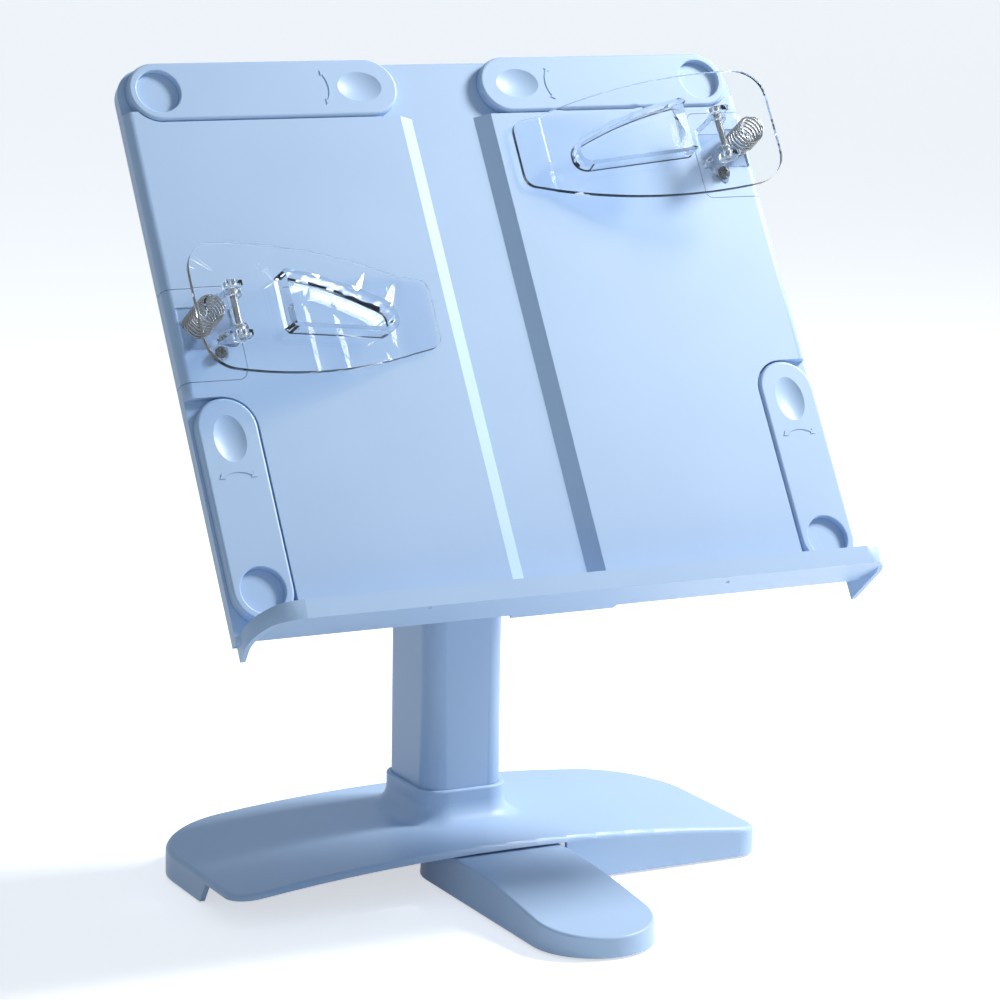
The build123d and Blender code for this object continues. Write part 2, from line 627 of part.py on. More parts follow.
def panel_board():
    low = LEDGE_TOP - LEDGE_WALL
    body = prism_z(panel_outline(0), DECK_BACK, DECK)
    for side in (-1, 1):
        body += prism_y(page_section(side), low, PAGE_TOP) + page_corner(side)
        body -= prism_z(side_recess(side, 0), DECK, PAGE + 1)
    form = panel_form()
    body = body & form
    walls = panel_block(0) - panel_block(PANEL_WALL)
    body += walls & block((-PANEL_HALF, PANEL_HALF), (low, PANEL_TOP), (PANEL_BACK, DECK_BACK))
    pockets = prism_z(page_pocket(-1), PANEL_BACK, PAGE_BACK)
    pockets += prism_z(page_pocket(1), PANEL_BACK, PAGE_BACK)
    body -= pockets
    body += back_ribs() & pockets
    body += ledge()
    for u, v in bracket_screw_places():
        body += post(u, v, SCREW_RADIUS + PANEL_SKIN, BRACKET_TOP, PAGE_BACK + PANEL_SKIN / 2)
        body -= post(u, v, SCREW_RADIUS + SCREW_FIT, BRACKET_TOP, PAGE_BACK)
    for pivot, reach, angle in arm_pivots().values():
        body -= post(*pivot, SCREW_RADIUS + SCREW_FIT, DECK_BACK, DECK)
    for side, centre in clip_places().values():
        body += at_edge(slider_backing() & form, side, centre)
        body -= at_edge(slider_recess(SLIDER_GAP, SHAFT_FIT), side, centre)
        body -= at_edge(clip_screw_hole(PANEL_BACK, SLIDER_FLOOR), side, centre)
    return body


def ledge_plan(inset, back):
    """Outline of the ledge seen along the board, flared to the front and rounded at its front corners."""
    front = LEDGE_FRONT - inset
    flare = LEDGE_FLARE / (LEDGE_FRONT - PANEL_BACK)
    wide = PANEL_HALF - LEDGE_INSET - inset + flare * (front - PANEL_BACK)
    narrow = PANEL_HALF - LEDGE_INSET - inset + flare * (back - PANEL_BACK)
    face = make_face(Polyline((-narrow, back), (-wide, front), (wide, front), (narrow, back), close=True))
    left = face.vertices().sort_by(Axis.Y)[-2:].sort_by(Axis.X)[0]
    face = fillet([left], LEDGE_CORNER_LEFT - inset)
    right = face.vertices().sort_by(Axis.X)[-1]
    return fillet([right], LEDGE_CORNER_RIGHT - inset)


def stand_up(face, low, high):
    """Solid along v from a flat outline in u and w."""
    return Pos(0, high, 0) * Rot(90, 0, 0) * extrude(face, high - low)


def ledge():
    """Page ledge with a lip that runs round the ends and falls to a cheek at each side."""
    low = LEDGE_TOP - LEDGE_WALL
    high = LEDGE_TOP + LEDGE_LIP
    band = stand_up(ledge_plan(0, PANEL_BACK), CHEEK_TIP, high)
    band -= stand_up(ledge_plan(LIP_WALL, PANEL_BACK - 1), CHEEK_TIP, high)
    rim = [(high, LIP_SLOPE_FROM), (LEDGE_TOP, PAGE_BACK), (LEDGE_TOP, PANEL_BACK), (high, PANEL_BACK)]
    hem = [(low, LEDGE_FRONT), (low, CHEEK_SLOPE_FROM), (CHEEK_TIP, PANEL_BACK), (CHEEK_TIP, LEDGE_FRONT)]
    band -= prism_x(rim, -PANEL_WIDTH, PANEL_WIDTH) + prism_x(hem, -PANEL_WIDTH, PANEL_WIDTH)
    body = band + stand_up(ledge_plan(0, PAGE_BACK), low, LEDGE_TOP)
    return body + block((-CHANNEL_TOP / 2, CHANNEL_TOP / 2), (low, LEDGE_TOP), (DECK_BACK, PAGE_BACK))


def swing_arm(pivot, reach, angle):
    body = prism_z(arm_slot(pivot, reach, angle, 0), -ARM_THICK, 0)
    body = fillet(body.faces().sort_by(Axis.Z)[-1].edges(), ARM_EDGE)
    body -= post(*pivot, PIVOT_NECK_RADIUS + PIVOT_FIT, -ARM_THICK, 0)
    floor = PIVOT_CAP_TOP - PIVOT_CAP_THICK - FACE_FIT
    body -= post(*pivot, PIVOT_CAP_RADIUS + PIVOT_FIT, floor, 0)
    rim = body.edges().group_by(Axis.Z)[-1].filter_by(GeomType.CIRCLE)
    body = fillet([e for e in rim if abs(e.radius - PIVOT_CAP_RADIUS - PIVOT_FIT) < 0.01], PIVOT_RIM)
    bowl_radius = (DIMPLE_WIDTH**2 / 4 + DIMPLE_DEPTH**2) / (2 * DIMPLE_DEPTH)
    bowl = Pos(0, 0, bowl_radius - DIMPLE_DEPTH) * Sphere(bowl_radius)
    bowl = Pos(reach - DIMPLE_INSET, 0, 0) * scale(bowl, by=(DIMPLE_LENGTH / DIMPLE_WIDTH, 1, 1))
    place = Pos(*pivot) * Rot(0, 0, angle)
    return body - place * bowl + place * swing_mark(reach)


def swing_mark(reach):
    """Raised double-headed arrow across an arm, bowed away from its pivot."""
    bend = ARROW_HALF / ARROW_RADIUS
    side = 2 * ARROW_RADIUS * math.tan(bend)
    band = Circle(ARROW_RADIUS + ARROW_LINE / 2) - Circle(ARROW_RADIUS - ARROW_LINE / 2)
    band = band & make_face(Polyline((0, 0), (2 * ARROW_RADIUS, side), (2 * ARROW_RADIUS, -side), close=True))
    length, half = ARROW_HEAD
    for end in (-1, 1):
        head = make_face(Polyline((-half, 0), (half, 0), (0, end * length), close=True))
        band += Rot(0, 0, end * math.degrees(bend)) * Pos(ARROW_RADIUS, 0) * head
    return Pos(reach - ARROW_INSET - ARROW_RADIUS, 0, 0) * prism_z(band, -ARROW_TALL, ARROW_TALL)


def arm_pivot_caps():
    caps = []
    for pivot, reach, angle in arm_pivots().values():
        cap = post(*pivot, PIVOT_CAP_RADIUS, PIVOT_CAP_TOP - PIVOT_CAP_THICK, PIVOT_CAP_TOP)
        cap += post(*pivot, PIVOT_NECK_RADIUS, DECK, PIVOT_CAP_TOP - PIVOT_CAP_THICK)
        caps.append(cap - post(*pivot, SCREW_RADIUS + SCREW_FIT, DECK, PIVOT_CAP_TOP - PIVOT_CAP_THICK))
    return Compound(caps)


def arm_screws():
    length = PIVOT_CAP_TOP - PIVOT_CAP_THICK - DECK_BACK - SCREW_FIT
    return Compound([
        screw(*pivot, DECK_BACK, True, SCREW_RADIUS, length, SCREW_HEAD_RADIUS, SCREW_HEAD)
        for pivot, reach, angle in arm_pivots().values()])


def clip_places():
    """Side of the panel and height on it of the two clips."""
    return {"left": (-1, SLIDER_LEFT), "right": (1, SLIDER_RIGHT)}


def at_edge(shape, side, centre):
    """Put a shape built for the right edge at its side of the panel and its height."""
    return Pos(0, centre, 0) * (shape if side > 0 else mirror(shape, about=Plane.YZ))


def slider_recess(gap, fit):
    """Room for a clip block in the panel: a plate in the page and a flange down the side wall."""
    inner = PANEL_HALF - SLIDER_REACH - gap
    half = SLIDER_LENGTH / 2 + gap
    plate = block((inner, PANEL_HALF + 1), (-half, half), (SLIDER_FLOOR, PAGE + 1))
    plate = fillet(plate.edges().filter_by(Axis.Z).group_by(Axis.X)[0], SLIDER_CORNER + gap)
    flange = block((inner, PANEL_HALF + 1), (-half, half), (PANEL_BACK, PAGE))
    return plate + (flange - panel_block(SLIDER_WALL + fit))


def slider_backing():
    """Thickened skin and wall of the panel behind a clip block."""
    half = SLIDER_LENGTH / 2 + SLIDER_BACKING
    inner = PANEL_HALF - SLIDER_REACH - SLIDER_BACKING
    wall = PANEL_HALF - PANEL_DRAFT - PANEL_WALL - SLIDER_WALL
    floor = block((inner, PANEL_HALF), (-half, half), (SLIDER_FLOOR - SLIDER_BACKING, PAGE_BACK))
    return floor + block((wall, PANEL_HALF), (-half, half), (PANEL_BACK, PAGE_BACK))


def clip_screw_hole(low, high):
    return post(*CLIP_SCREW, SMALL_SCREW_RADIUS + SCREW_FIT, low, high)


def clip_slider():
    """Block let into the right edge of the panel, centred on v = 0 and shaped as the panel is there."""
    body = slider_recess(0, 0) & panel_form()
    body -= prism_z(bracket_plan(PRESS_FIT), POCKET_FLOOR, PAGE)
    return body - clip_screw_hole(SLIDER_FLOOR, POCKET_FLOOR)


def bracket_plan(grow):
    """Flat outline of the clear bracket's base with its screw ear."""
    inner = CLIP_PIVOT[0] - LUG_RADIUS - grow
    outer = SPRING_U + SPRING_RADIUS + SPRING_WIRE + grow
    half = LUG_INNER + LUG_WALL + grow
    main = Pos((inner + outer) / 2, CLIP_OFFSET) * Rectangle(outer - inner, 2 * half)
    ear_radius = SMALL_SCREW_HEAD_RADIUS + 1 + grow
    ear = Pos(*CLIP_SCREW) * Circle(ear_radius)
    neck = Rectangle(2 * ear_radius, CLIP_OFFSET - CLIP_SCREW[1])
    ear += Pos(CLIP_SCREW[0], (CLIP_SCREW[1] + CLIP_OFFSET) / 2) * neck
    return main + ear


def clip_bracket():
    u, w = CLIP_PIVOT
    body = prism_z(bracket_plan(0), POCKET_FLOOR, BRACKET_FLOOR)
    lug = [(u - LUG_RADIUS, BRACKET_FLOOR), (u + 2 * LUG_RADIUS, BRACKET_FLOOR),
           (u + LUG_RADIUS, w), (u - LUG_RADIUS, w)]
    for side in (-1, 1):
        faces = sorted([CLIP_OFFSET + side * LUG_INNER, CLIP_OFFSET + side * (LUG_INNER + LUG_WALL)])
        body += prism_y(lug, *faces) + rod_y(u, w, LUG_RADIUS, *faces)
        body -= rod_y(u, w, PIN_RADIUS + PIN_FIT, *faces)
    body += post(SPRING_U, CLIP_OFFSET, SPRING_SEAT, BRACKET_FLOOR, BRACKET_FLOOR + SPRING_SEAT_TALL)
    return body - clip_screw_hole(POCKET_FLOOR, BRACKET_FLOOR)


def clip_screw():
    length = BRACKET_FLOOR - SLIDER_FLOOR + SLIDER_BACKING
    return screw(*CLIP_SCREW, BRACKET_FLOOR, False, SMALL_SCREW_RADIUS, length,
                 SMALL_SCREW_HEAD_RADIUS, SMALL_SCREW_HEAD)


def clip_pin():
    half = EAR_INNER + EAR_WALL
    return rod_y(*CLIP_PIVOT, PIN_RADIUS, CLIP_OFFSET - half, CLIP_OFFSET + half)


def lever_band(low, high):
    """Bent sheet between two heights over the lever's underside: a flat jaw and a rising tail."""
    far = LEVER_TAIL + LEVER_BEND
    rise = (far - LEVER_BEND) * LEVER_RISE
    points = [(0, LEVER_LOW + low), (LEVER_BEND, LEVER_LOW + low), (far, LEVER_LOW + rise + low),
              (far, LEVER_LOW + rise + high), (LEVER_BEND, LEVER_LOW + high), (0, LEVER_LOW + high)]
    return prism_y(points, -LEVER_TAIL, LEVER_TAIL)


def lever_half(u):
    """Half width of a clip, whose sides swell in one long arc."""
    return LEVER_HALF - LEVER_SIDE_RADIUS + math.sqrt(LEVER_SIDE_RADIUS**2 - (u - LEVER_BROAD)**2)


def lever_plan():
    """Flat outline of a clip: rounded tail, swelling sides and a narrow jaw."""
    tail, bend = lever_half(LEVER_TAIL), lever_half(LEVER_BEND)
    outline = Polyline((LEVER_BEND, bend), (LEVER_JAW, LEVER_JAW_HALF),
                       (LEVER_JAW, -LEVER_JAW_HALF), (LEVER_BEND, -bend))
    outline += ThreePointArc((LEVER_BEND, -bend), (LEVER_BROAD, -LEVER_HALF), (LEVER_TAIL, -tail))
    outline += Line((LEVER_TAIL, -tail), (LEVER_TAIL, tail))
    outline += ThreePointArc((LEVER_TAIL, tail), (LEVER_BROAD, LEVER_HALF), (LEVER_BEND, bend))
    face = make_face(outline)
    for u, radius in ((LEVER_JAW, LEVER_JAW_CORNER), (LEVER_TAIL, LEVER_TAIL_CORNER)):
        face = fillet([v for v in face.vertices() if abs(v.X - u) < 0.01], radius)
    return face


def rib_frame(inset):
    """Flat outline of the raised frame on a clip: straight below, bowed above, with a rounded nose."""
    tail, nose = RIB_FRAME_TAIL - inset, RIB_FRAME_NOSE + inset
    half = RIB_FRAME_HALF - inset
    bow, fall = RIB_FRAME_FALL
    outline = Polyline((nose, half - fall), (nose, -half), (tail, -half), (tail, half))
    outline += ThreePointArc((tail, half), ((tail + nose) / 2, half - bow), (nose, half - fall))
    face = make_face(outline)
    for u, radius in zip((tail, nose), RIB_FRAME_CORNERS):
        face = fillet([v for v in face.vertices() if abs(v.X - u) < 0.01], radius - inset)
    return Pos(0, RIB_FRAME_OFFSET) * face


def clip_lever():
    u, w = CLIP_PIVOT
    outline = prism_z(lever_plan(), 0, LEVER_TAIL)
    body = outline & lever_band(0, LEVER_WALL)
    frame = prism_z(rib_frame(0), 0, LEVER_TAIL) - prism_z(rib_frame(RIB_FRAME_WALL), 0, LEVER_TAIL)
    body += frame & lever_band(LEVER_WALL / 2, LEVER_WALL + RIB_FRAME_TALL)
    ears = None
    for side in (-1, 1):
        faces = sorted([side * EAR_INNER, side * (EAR_INNER + EAR_WALL)])
        ear = block((u - LUG_RADIUS, u + LUG_RADIUS), faces, (w, LEVER_TAIL))
        ear += rod_y(u, w, LUG_RADIUS, *faces)
        ears = ear if ears is None else ears + ear
    ears += post(SPRING_U, 0, SPRING_SEAT, SPRING_HIGH - SPRING_SEAT_TALL, LEVER_TAIL)
    body += ears & lever_band(-LEVER_TAIL, LEVER_WALL / 2)
    body -= rod_y(u, w, PIN_RADIUS + PIN_FIT, -LEVER_TAIL, LEVER_TAIL)
    return Pos(0, CLIP_OFFSET, 0) * body


def helix_point(turn):
    angle = 2 * math.pi * turn
    rise = (SPRING_HIGH - SPRING_LOW) / SPRING_TURNS
    return Vector(SPRING_RADIUS * math.cos(angle), SPRING_RADIUS * math.sin(angle), rise * turn)


def helix_tangent(turn):
    angle = 2 * math.pi * turn
    rise = (SPRING_HIGH - SPRING_LOW) / SPRING_TURNS
    return Vector(-2 * math.pi * SPRING_RADIUS * math.sin(angle),
                  2 * math.pi * SPRING_RADIUS * math.cos(angle), rise).normalized()


def biarc(start, end):
    """Two tangent arcs along the spring's helix between two turns."""
    p, q = helix_point(start), helix_point(end)
    s, t = helix_tangent(start), helix_tangent(end)
    chord = q - p
    spread = 2 * (1 - s.dot(t))
    along = chord.dot(s + t)
    reach = (math.sqrt(along**2 + spread * chord.dot(chord)) - along) / spread
    middle = (p + s * reach + q - t * reach) * 0.5
    return [TangentArc(p, middle, tangent=s), TangentArc(q, middle, tangent=t * -1)]


def clip_spring():
    """Coil spring as one unbroken wire on quarter-turn biarcs."""
    arcs = []
    quarters = round(SPRING_TURNS * 4)
    for quarter in range(quarters):
        arcs += biarc(quarter / 4, (quarter + 1) / 4)
    path = Wire([edge for arc in arcs for edge in arc.edges()])
    section = Plane(origin=path @ 0, z_dir=path % 0) * Circle(SPRING_WIRE / 2)
    return Pos(SPRING_U, CLIP_OFFSET, SPRING_LOW) * sweep(section, path=path)


def spring_gap():
    """Least gap of the spring's wire to itself, measured on points."""
    steps = 48
    points = [helix_point(i / steps) for i in range(round(SPRING_TURNS * steps) + 1)]
    least = min((points[j] - points[i]).length for i in range(len(points))
                for j in range(i + steps // 2, len(points)))
    return least - SPRING_WIRE


parts = {
    "base_shell": base_shell(),
    "base_pads": base_pads(),
    "front_foot": front_foot(),
    "foot_pad": foot_pad(),
    "foot_washer": foot_washer(),
    "foot_pivot_screw": foot_pivot_screw(),
    "outer_column": outer_column(),
    "column_screws": column_screws(),
    "guide_bush": guide_bush(),
    "inner_column": inner_column(),
    "guide_shoe": guide_shoe(),
    "tilt_head": tilt_head(),
    "tilt_shaft": tilt_shaft(),
    "friction_washers": friction_washers(),
    "shaft_caps": shaft_caps(),
}
for name, piece in {
    "hinge_bracket": hinge_bracket(),
    "bracket_screws": bracket_screws(),
    "panel_board": panel_board(),
    "arm_pivot_caps": arm_pivot_caps(),
    "arm_screws": arm_screws(),
}.items():
    parts[name] = PANEL_PLACE * piece
for name, (pivot, reach, angle) in arm_pivots().items():
    parts[name] = PANEL_PLACE * swing_arm(pivot, reach, angle)
clip_pieces = {
    "clip_slider": clip_slider(),
    "clip_bracket": clip_bracket(),
    "clip_screw": clip_screw(),
    "clip_pin": clip_pin(),
    "clip_lever": clip_lever(),
    "clip_spring": clip_spring(),
}
for name, piece in clip_pieces.items():
    for side_name, (side, centre) in clip_places().items():
        parts[f"{name}_{side_name}"] = PANEL_PLACE * at_edge(piece, side, centre)

os.makedirs("parts", exist_ok=True)
for name, piece in parts.items():
    export_step(Pos(0, DEPTH_SHIFT, 0) * piece, f"parts/{name}.step")
print("spring gap to itself", round(spring_gap(), 2))
print("panel origin", PANEL_ORIGIN, "up", UP_BOARD, "out", OUT_OF_FACE)
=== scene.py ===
"""Desk document holder in pale blue moulded plastic: a tilting page panel on a telescoping column.

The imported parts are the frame. Each section finishes one piece or one group of like pieces, in the
order in which the stand is put together, and adds the small parts that are moulded on or screwed in.
"""

import json
import math

import bmesh
import bpy
from mathutils import Matrix, Vector


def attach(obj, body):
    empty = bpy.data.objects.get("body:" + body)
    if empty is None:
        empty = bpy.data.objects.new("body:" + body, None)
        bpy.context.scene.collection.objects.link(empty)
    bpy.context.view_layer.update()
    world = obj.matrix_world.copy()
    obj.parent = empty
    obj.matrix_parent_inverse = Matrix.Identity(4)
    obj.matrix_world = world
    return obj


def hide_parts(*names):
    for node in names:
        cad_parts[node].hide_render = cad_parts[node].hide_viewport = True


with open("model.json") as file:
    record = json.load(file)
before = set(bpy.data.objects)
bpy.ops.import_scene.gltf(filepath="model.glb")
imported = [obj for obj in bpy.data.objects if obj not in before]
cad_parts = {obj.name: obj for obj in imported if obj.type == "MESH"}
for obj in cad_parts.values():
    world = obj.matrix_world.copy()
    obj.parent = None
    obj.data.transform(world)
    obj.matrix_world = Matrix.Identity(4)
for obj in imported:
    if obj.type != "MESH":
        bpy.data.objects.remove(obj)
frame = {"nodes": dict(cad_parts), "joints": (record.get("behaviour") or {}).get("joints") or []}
bpy.ops.object.select_all(action="DESELECT")
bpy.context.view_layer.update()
joints = {joint["name"]: joint for joint in frame["joints"]}


# The view: a long lens a little to the left of the stand and just above its ledge,
# turned slightly about its own axis.
view_azimuth = math.radians(-27.41)
view_elevation = math.radians(11.07)
view_roll = math.radians(0.9)
view_aim = Vector((0.0071, 0.0230, 0.1799))
view_distance = 1.578
to_camera = Vector((math.sin(view_azimuth) * math.cos(view_elevation),
                    -math.cos(view_azimuth) * math.cos(view_elevation), math.sin(view_elevation)))
camera_turn = to_camera.to_track_quat("Z", "Y").to_matrix() @ Matrix.Rotation(view_roll, 3, "Z")
bpy.ops.object.camera_add(location=view_aim + to_camera * view_distance, rotation=camera_turn.to_euler())
camera = bpy.context.object
camera.data.lens = 122.47
camera.data.clip_end = 20
bpy.context.scene.camera = camera


# Base shell: one shallow crowned moulding in satin blue plastic, with a flared collar for the column.
# Its mould is spark eroded, so the skin has a fine even grain and a slightly cloudy sheen.
def satin_blue(name, colour, roughness, grain_depth):
    material = bpy.data.materials.new(name)
    material.use_nodes = True
    nodes, links = material.node_tree.nodes, material.node_tree.links
    shader = nodes["Principled BSDF"]
    place = nodes.new("ShaderNodeTexCoord")
    cloud = nodes.new("ShaderNodeTexNoise")
    cloud.inputs["Scale"].default_value = 22
    cloud.inputs["Detail"].default_value = 4
    links.new(place.outputs["Object"], cloud.inputs["Vector"])
    tone = nodes.new("ShaderNodeMix")
    tone.data_type = "RGBA"
    tone.inputs["A"].default_value = (*(0.965 * c for c in colour), 1)
    tone.inputs["B"].default_value = (*(min(1, 1.03 * c) for c in colour), 1)
    links.new(cloud.outputs["Fac"], tone.inputs["Factor"])
    links.new(tone.outputs["Result"], shader.inputs["Base Color"])
    sheen = nodes.new("ShaderNodeMapRange")
    sheen.inputs["To Min"].default_value = roughness - 0.05
    sheen.inputs["To Max"].default_value = roughness + 0.05
    links.new(cloud.outputs["Fac"], sheen.inputs["Value"])
    links.new(sheen.outputs["Result"], shader.inputs["Roughness"])
    grain = nodes.new("ShaderNodeTexNoise")
    grain.inputs["Scale"].default_value = 2400
    grain.inputs["Detail"].default_value = 2
    links.new(place.outputs["Object"], grain.inputs["Vector"])
    bump = nodes.new("ShaderNodeBump")
    bump.inputs["Strength"].default_value = grain_depth
    bump.inputs["Distance"].default_value = 0.0001
    links.new(grain.outputs["Fac"], bump.inputs["Height"])
    links.new(bump.outputs["Normal"], shader.inputs["Normal"])
    shader.inputs["Specular IOR Level"].default_value = 0.42
    return material


def round_edges(piece, name, width, segments):
    """Round every edge of a piece that is sharper than a soft mould line."""
    rounding = piece.modifiers.new(name, "BEVEL")
    rounding.width = width
    rounding.segments = segments
    rounding.limit_method = "ANGLE"
    rounding.angle_limit = math.radians(35)
    rounding.harden_normals = True


def finish_node(node, material, edge=0.0):
    """Give a part its material and, where a width is given, round its sharp edges by that width."""
    piece = frame["nodes"][node]
    piece.data.materials.clear()
    piece.data.materials.append(material)
    if edge:
        weld = piece.modifiers.new("joined skin", "WELD")
        weld.merge_threshold = 1e-6
        flat = piece.modifiers.new("flat faces", "DECIMATE")
        flat.decimate_type = "DISSOLVE"
        flat.angle_limit = math.radians(0.5)
        round_edges(piece, "soft edges", edge, segments=2)
    return piece


body_blue = satin_blue("satin_blue_moulding", (0.43, 0.585, 0.81), 0.42, 0.10)
finish_node("base_shell", body_blue)


# Rubber pads: soft dark discs glued in the base's three bosses and under the foot's tip.
def matte_rubber(name, colour):
    material = bpy.data.materials.new(name)
    material.use_nodes = True
    nodes, links = material.node_tree.nodes, material.node_tree.links
    shader = nodes["Principled BSDF"]
    shader.inputs["Roughness"].default_value = 0.82
    place = nodes.new("ShaderNodeTexCoord")
    speck = nodes.new("ShaderNodeTexNoise")
    speck.inputs["Scale"].default_value = 900
    links.new(place.outputs["Object"], speck.inputs["Vector"])
    tone = nodes.new("ShaderNodeMix")
    tone.data_type = "RGBA"
    tone.inputs["A"].default_value = (*(0.7 * c for c in colour), 1)
    tone.inputs["B"].default_value = (*(1.3 * c for c in colour), 1)
    links.new(speck.outputs["Fac"], tone.inputs["Factor"])
    links.new(tone.outputs["Result"], shader.inputs["Base Color"])
    bump = nodes.new("ShaderNodeBump")
    bump.inputs["Strength"].default_value = 0.3
    bump.inputs["Distance"].default_value = 0.0001
    links.new(speck.outputs["Fac"], bump.inputs["Height"])
    links.new(bump.outputs["Normal"], shader.inputs["Normal"])
    return material


pad_rubber = matte_rubber("dark_rubber", (0.045, 0.048, 0.055))
for node in ("base_pads", "foot_pad"):
    finish_node(node, pad_rubber, edge=0.0002)


# Front foot: a bullet shaped moulding that turns on the base's pivot post and stows under its left wing.
finish_node("front_foot", body_blue)


# Column: an outer tube screwed to the base, a guide bush in its mouth and an inner tube that slides in it.
guide_blue = satin_blue("guide_plastic", (0.36, 0.47, 0.68), 0.5, 0.05)
for node in ("outer_column", "inner_column", "tilt_head"):
    finish_node(node, body_blue, edge=0.0005)
for node in ("guide_bush", "guide_shoe", "friction_washers"):
    finish_node(node, guide_blue, edge=0.0003)


# Steel parts: the tilt shaft and foot washer are turned bright steel, drawn lengthwise with fine marks.
def drawn_steel(name, colour, roughness):
    material = bpy.data.materials.new(name)
    material.use_nodes = True
    nodes, links = material.node_tree.nodes, material.node_tree.links
    shader = nodes["Principled BSDF"]
    shader.inputs["Metallic"].default_value = 1
    place = nodes.new("ShaderNodeTexCoord")
    streak = nodes.new("ShaderNodeTexNoise")
    streak.inputs["Scale"].default_value = 1400
    streak.inputs["Detail"].default_value = 3
    links.new(place.outputs["Object"], streak.inputs["Vector"])
    tone = nodes.new("ShaderNodeMix")
    tone.data_type = "RGBA"
    tone.inputs["A"].default_value = (*(0.8 * c for c in colour), 1)
    tone.inputs["B"].default_value = (*colour, 1)
    links.new(streak.outputs["Fac"], tone.inputs["Factor"])
    links.new(tone.outputs["Result"], shader.inputs["Base Color"])
    polish = nodes.new("ShaderNodeMapRange")
    polish.inputs["To Min"].default_value = roughness - 0.06
    polish.inputs["To Max"].default_value = roughness + 0.08
    links.new(streak.outputs["Fac"], polish.inputs["Value"])
    links.new(polish.outputs["Result"], shader.inputs["Roughness"])
    return material


# The base colour is painted dark: painted shade standing in for the dark surroundings that this steel
# reflects.
bright_steel_painted_dark = drawn_steel("bright_steel_painted_dark", (0.24, 0.235, 0.23), 0.14)
for node in ("tilt_shaft", "foot_washer"):
    finish_node(node, bright_steel_painted_dark)


# Screws: blackened pan heads with a cross recess, driven from below into the column and the foot's post
# and from behind into the hinge bracket and the arms' caps. Heads are domed and shanks end in a taper.
def pan_screw(head_radius, head_tall, shank_radius, length):
    """One screw that stands on the Z axis, with the top of its head at the origin."""
    dome_radius = 0.62 * head_tall
    tip_length = 0.2 * length
    tip_taper = 0.4
    recess_reach = 0.62 * head_radius
    recess_half_width = 0.15 * head_radius
    recess_depth = 0.6 * head_tall
    bpy.ops.object.select_all(action="DESELECT")
    bpy.ops.mesh.primitive_cylinder_add(vertices=32, radius=head_radius, depth=head_tall,
                                        location=(0, 0, -head_tall / 2))
    body = bpy.context.object
    bpy.ops.object.transform_apply(location=True, rotation=True, scale=True)
    bpy.context.tool_settings.mesh_select_mode = (False, False, True)
    bpy.ops.object.mode_set(mode="EDIT")
    bpy.ops.mesh.select_all(action="DESELECT")
    bpy.ops.object.mode_set(mode="OBJECT")
    for face in body.data.polygons:
        face.select = face.normal.z > 0.9
    bpy.ops.object.mode_set(mode="EDIT")
    bpy.ops.mesh.bevel(offset=dome_radius, segments=5, affect="EDGES")
    bpy.ops.mesh.select_all(action="DESELECT")
    bpy.ops.object.mode_set(mode="OBJECT")
    for face in body.data.polygons:
        face.select = face.normal.z < -0.9
    bpy.ops.object.mode_set(mode="EDIT")
    bpy.ops.mesh.inset(thickness=head_radius - shank_radius)
    bpy.ops.mesh.extrude_region_move(TRANSFORM_OT_translate={"value": (0, 0, tip_length - length)})
    bpy.ops.mesh.extrude_region_move(TRANSFORM_OT_translate={"value": (0, 0, -tip_length)})
    bpy.ops.transform.resize(value=(tip_taper, tip_taper, 1))
    bpy.ops.object.mode_set(mode="OBJECT")
    for half_x, half_y in ((recess_reach, recess_half_width), (recess_half_width, recess_reach)):
        bpy.ops.mesh.primitive_cube_add(size=2, location=(0, 0, 0))
        driver = bpy.context.object
        driver.scale = (half_x, half_y, recess_depth)
        bpy.ops.object.transform_apply(location=True, rotation=True, scale=True)
        cut = body.modifiers.new("cross recess", "BOOLEAN")
        cut.operation = "DIFFERENCE"
        cut.object = driver
        bpy.context.view_layer.objects.active = body
        bpy.ops.object.modifier_apply(modifier=cut.name)
        bpy.data.objects.remove(driver)
    bpy.ops.object.select_all(action="DESELECT")
    body.select_set(True)
    bpy.ops.object.shade_smooth_by_angle(angle=math.radians(40))
    return body


def head_middles(node, away):
    """Middle of the outer face of each screw head in a node, where away points out of the heads."""
    face_slack = 1e-5
    head_spread = 0.009
    points = [vertex.co for vertex in frame["nodes"][node].data.vertices]
    level = max(point.dot(away) for point in points)
    heads = []
    for point in points:
        if level - point.dot(away) > face_slack:
            continue
        near = [head for head in heads if (head[0] - point).length < head_spread]
        if near:
            near[0].append(point)
        else:
            heads.append([point])
    middles = []
    for head in heads:
        low = Vector([min(point[i] for point in head) for i in range(3)])
        high = Vector([max(point[i] for point in head) for i in range(3)])
        middles.append((low + high) / 2)
    return middles


def drive_screws(node, body, pattern, away):
    """Copy a screw to each head of a node, as one piece that stands for the node."""
    turn = away.to_track_quat("Z", "Y").to_matrix().to_4x4()
    copies = bmesh.new()
    for middle in head_middles(node, away):
        one = pattern.data.copy()
        one.transform(Matrix.Translation(middle) @ turn)
        copies.from_mesh(one)
        bpy.data.meshes.remove(one)
    screws = bpy.data.objects.new(f"{node}_driven", bpy.data.meshes.new(f"{node}_driven"))
    copies.to_mesh(screws.data)
    copies.free()
    bpy.context.scene.collection.objects.link(screws)
    screws.data.materials.append(black_steel)
    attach(screws, body)
    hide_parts(node)


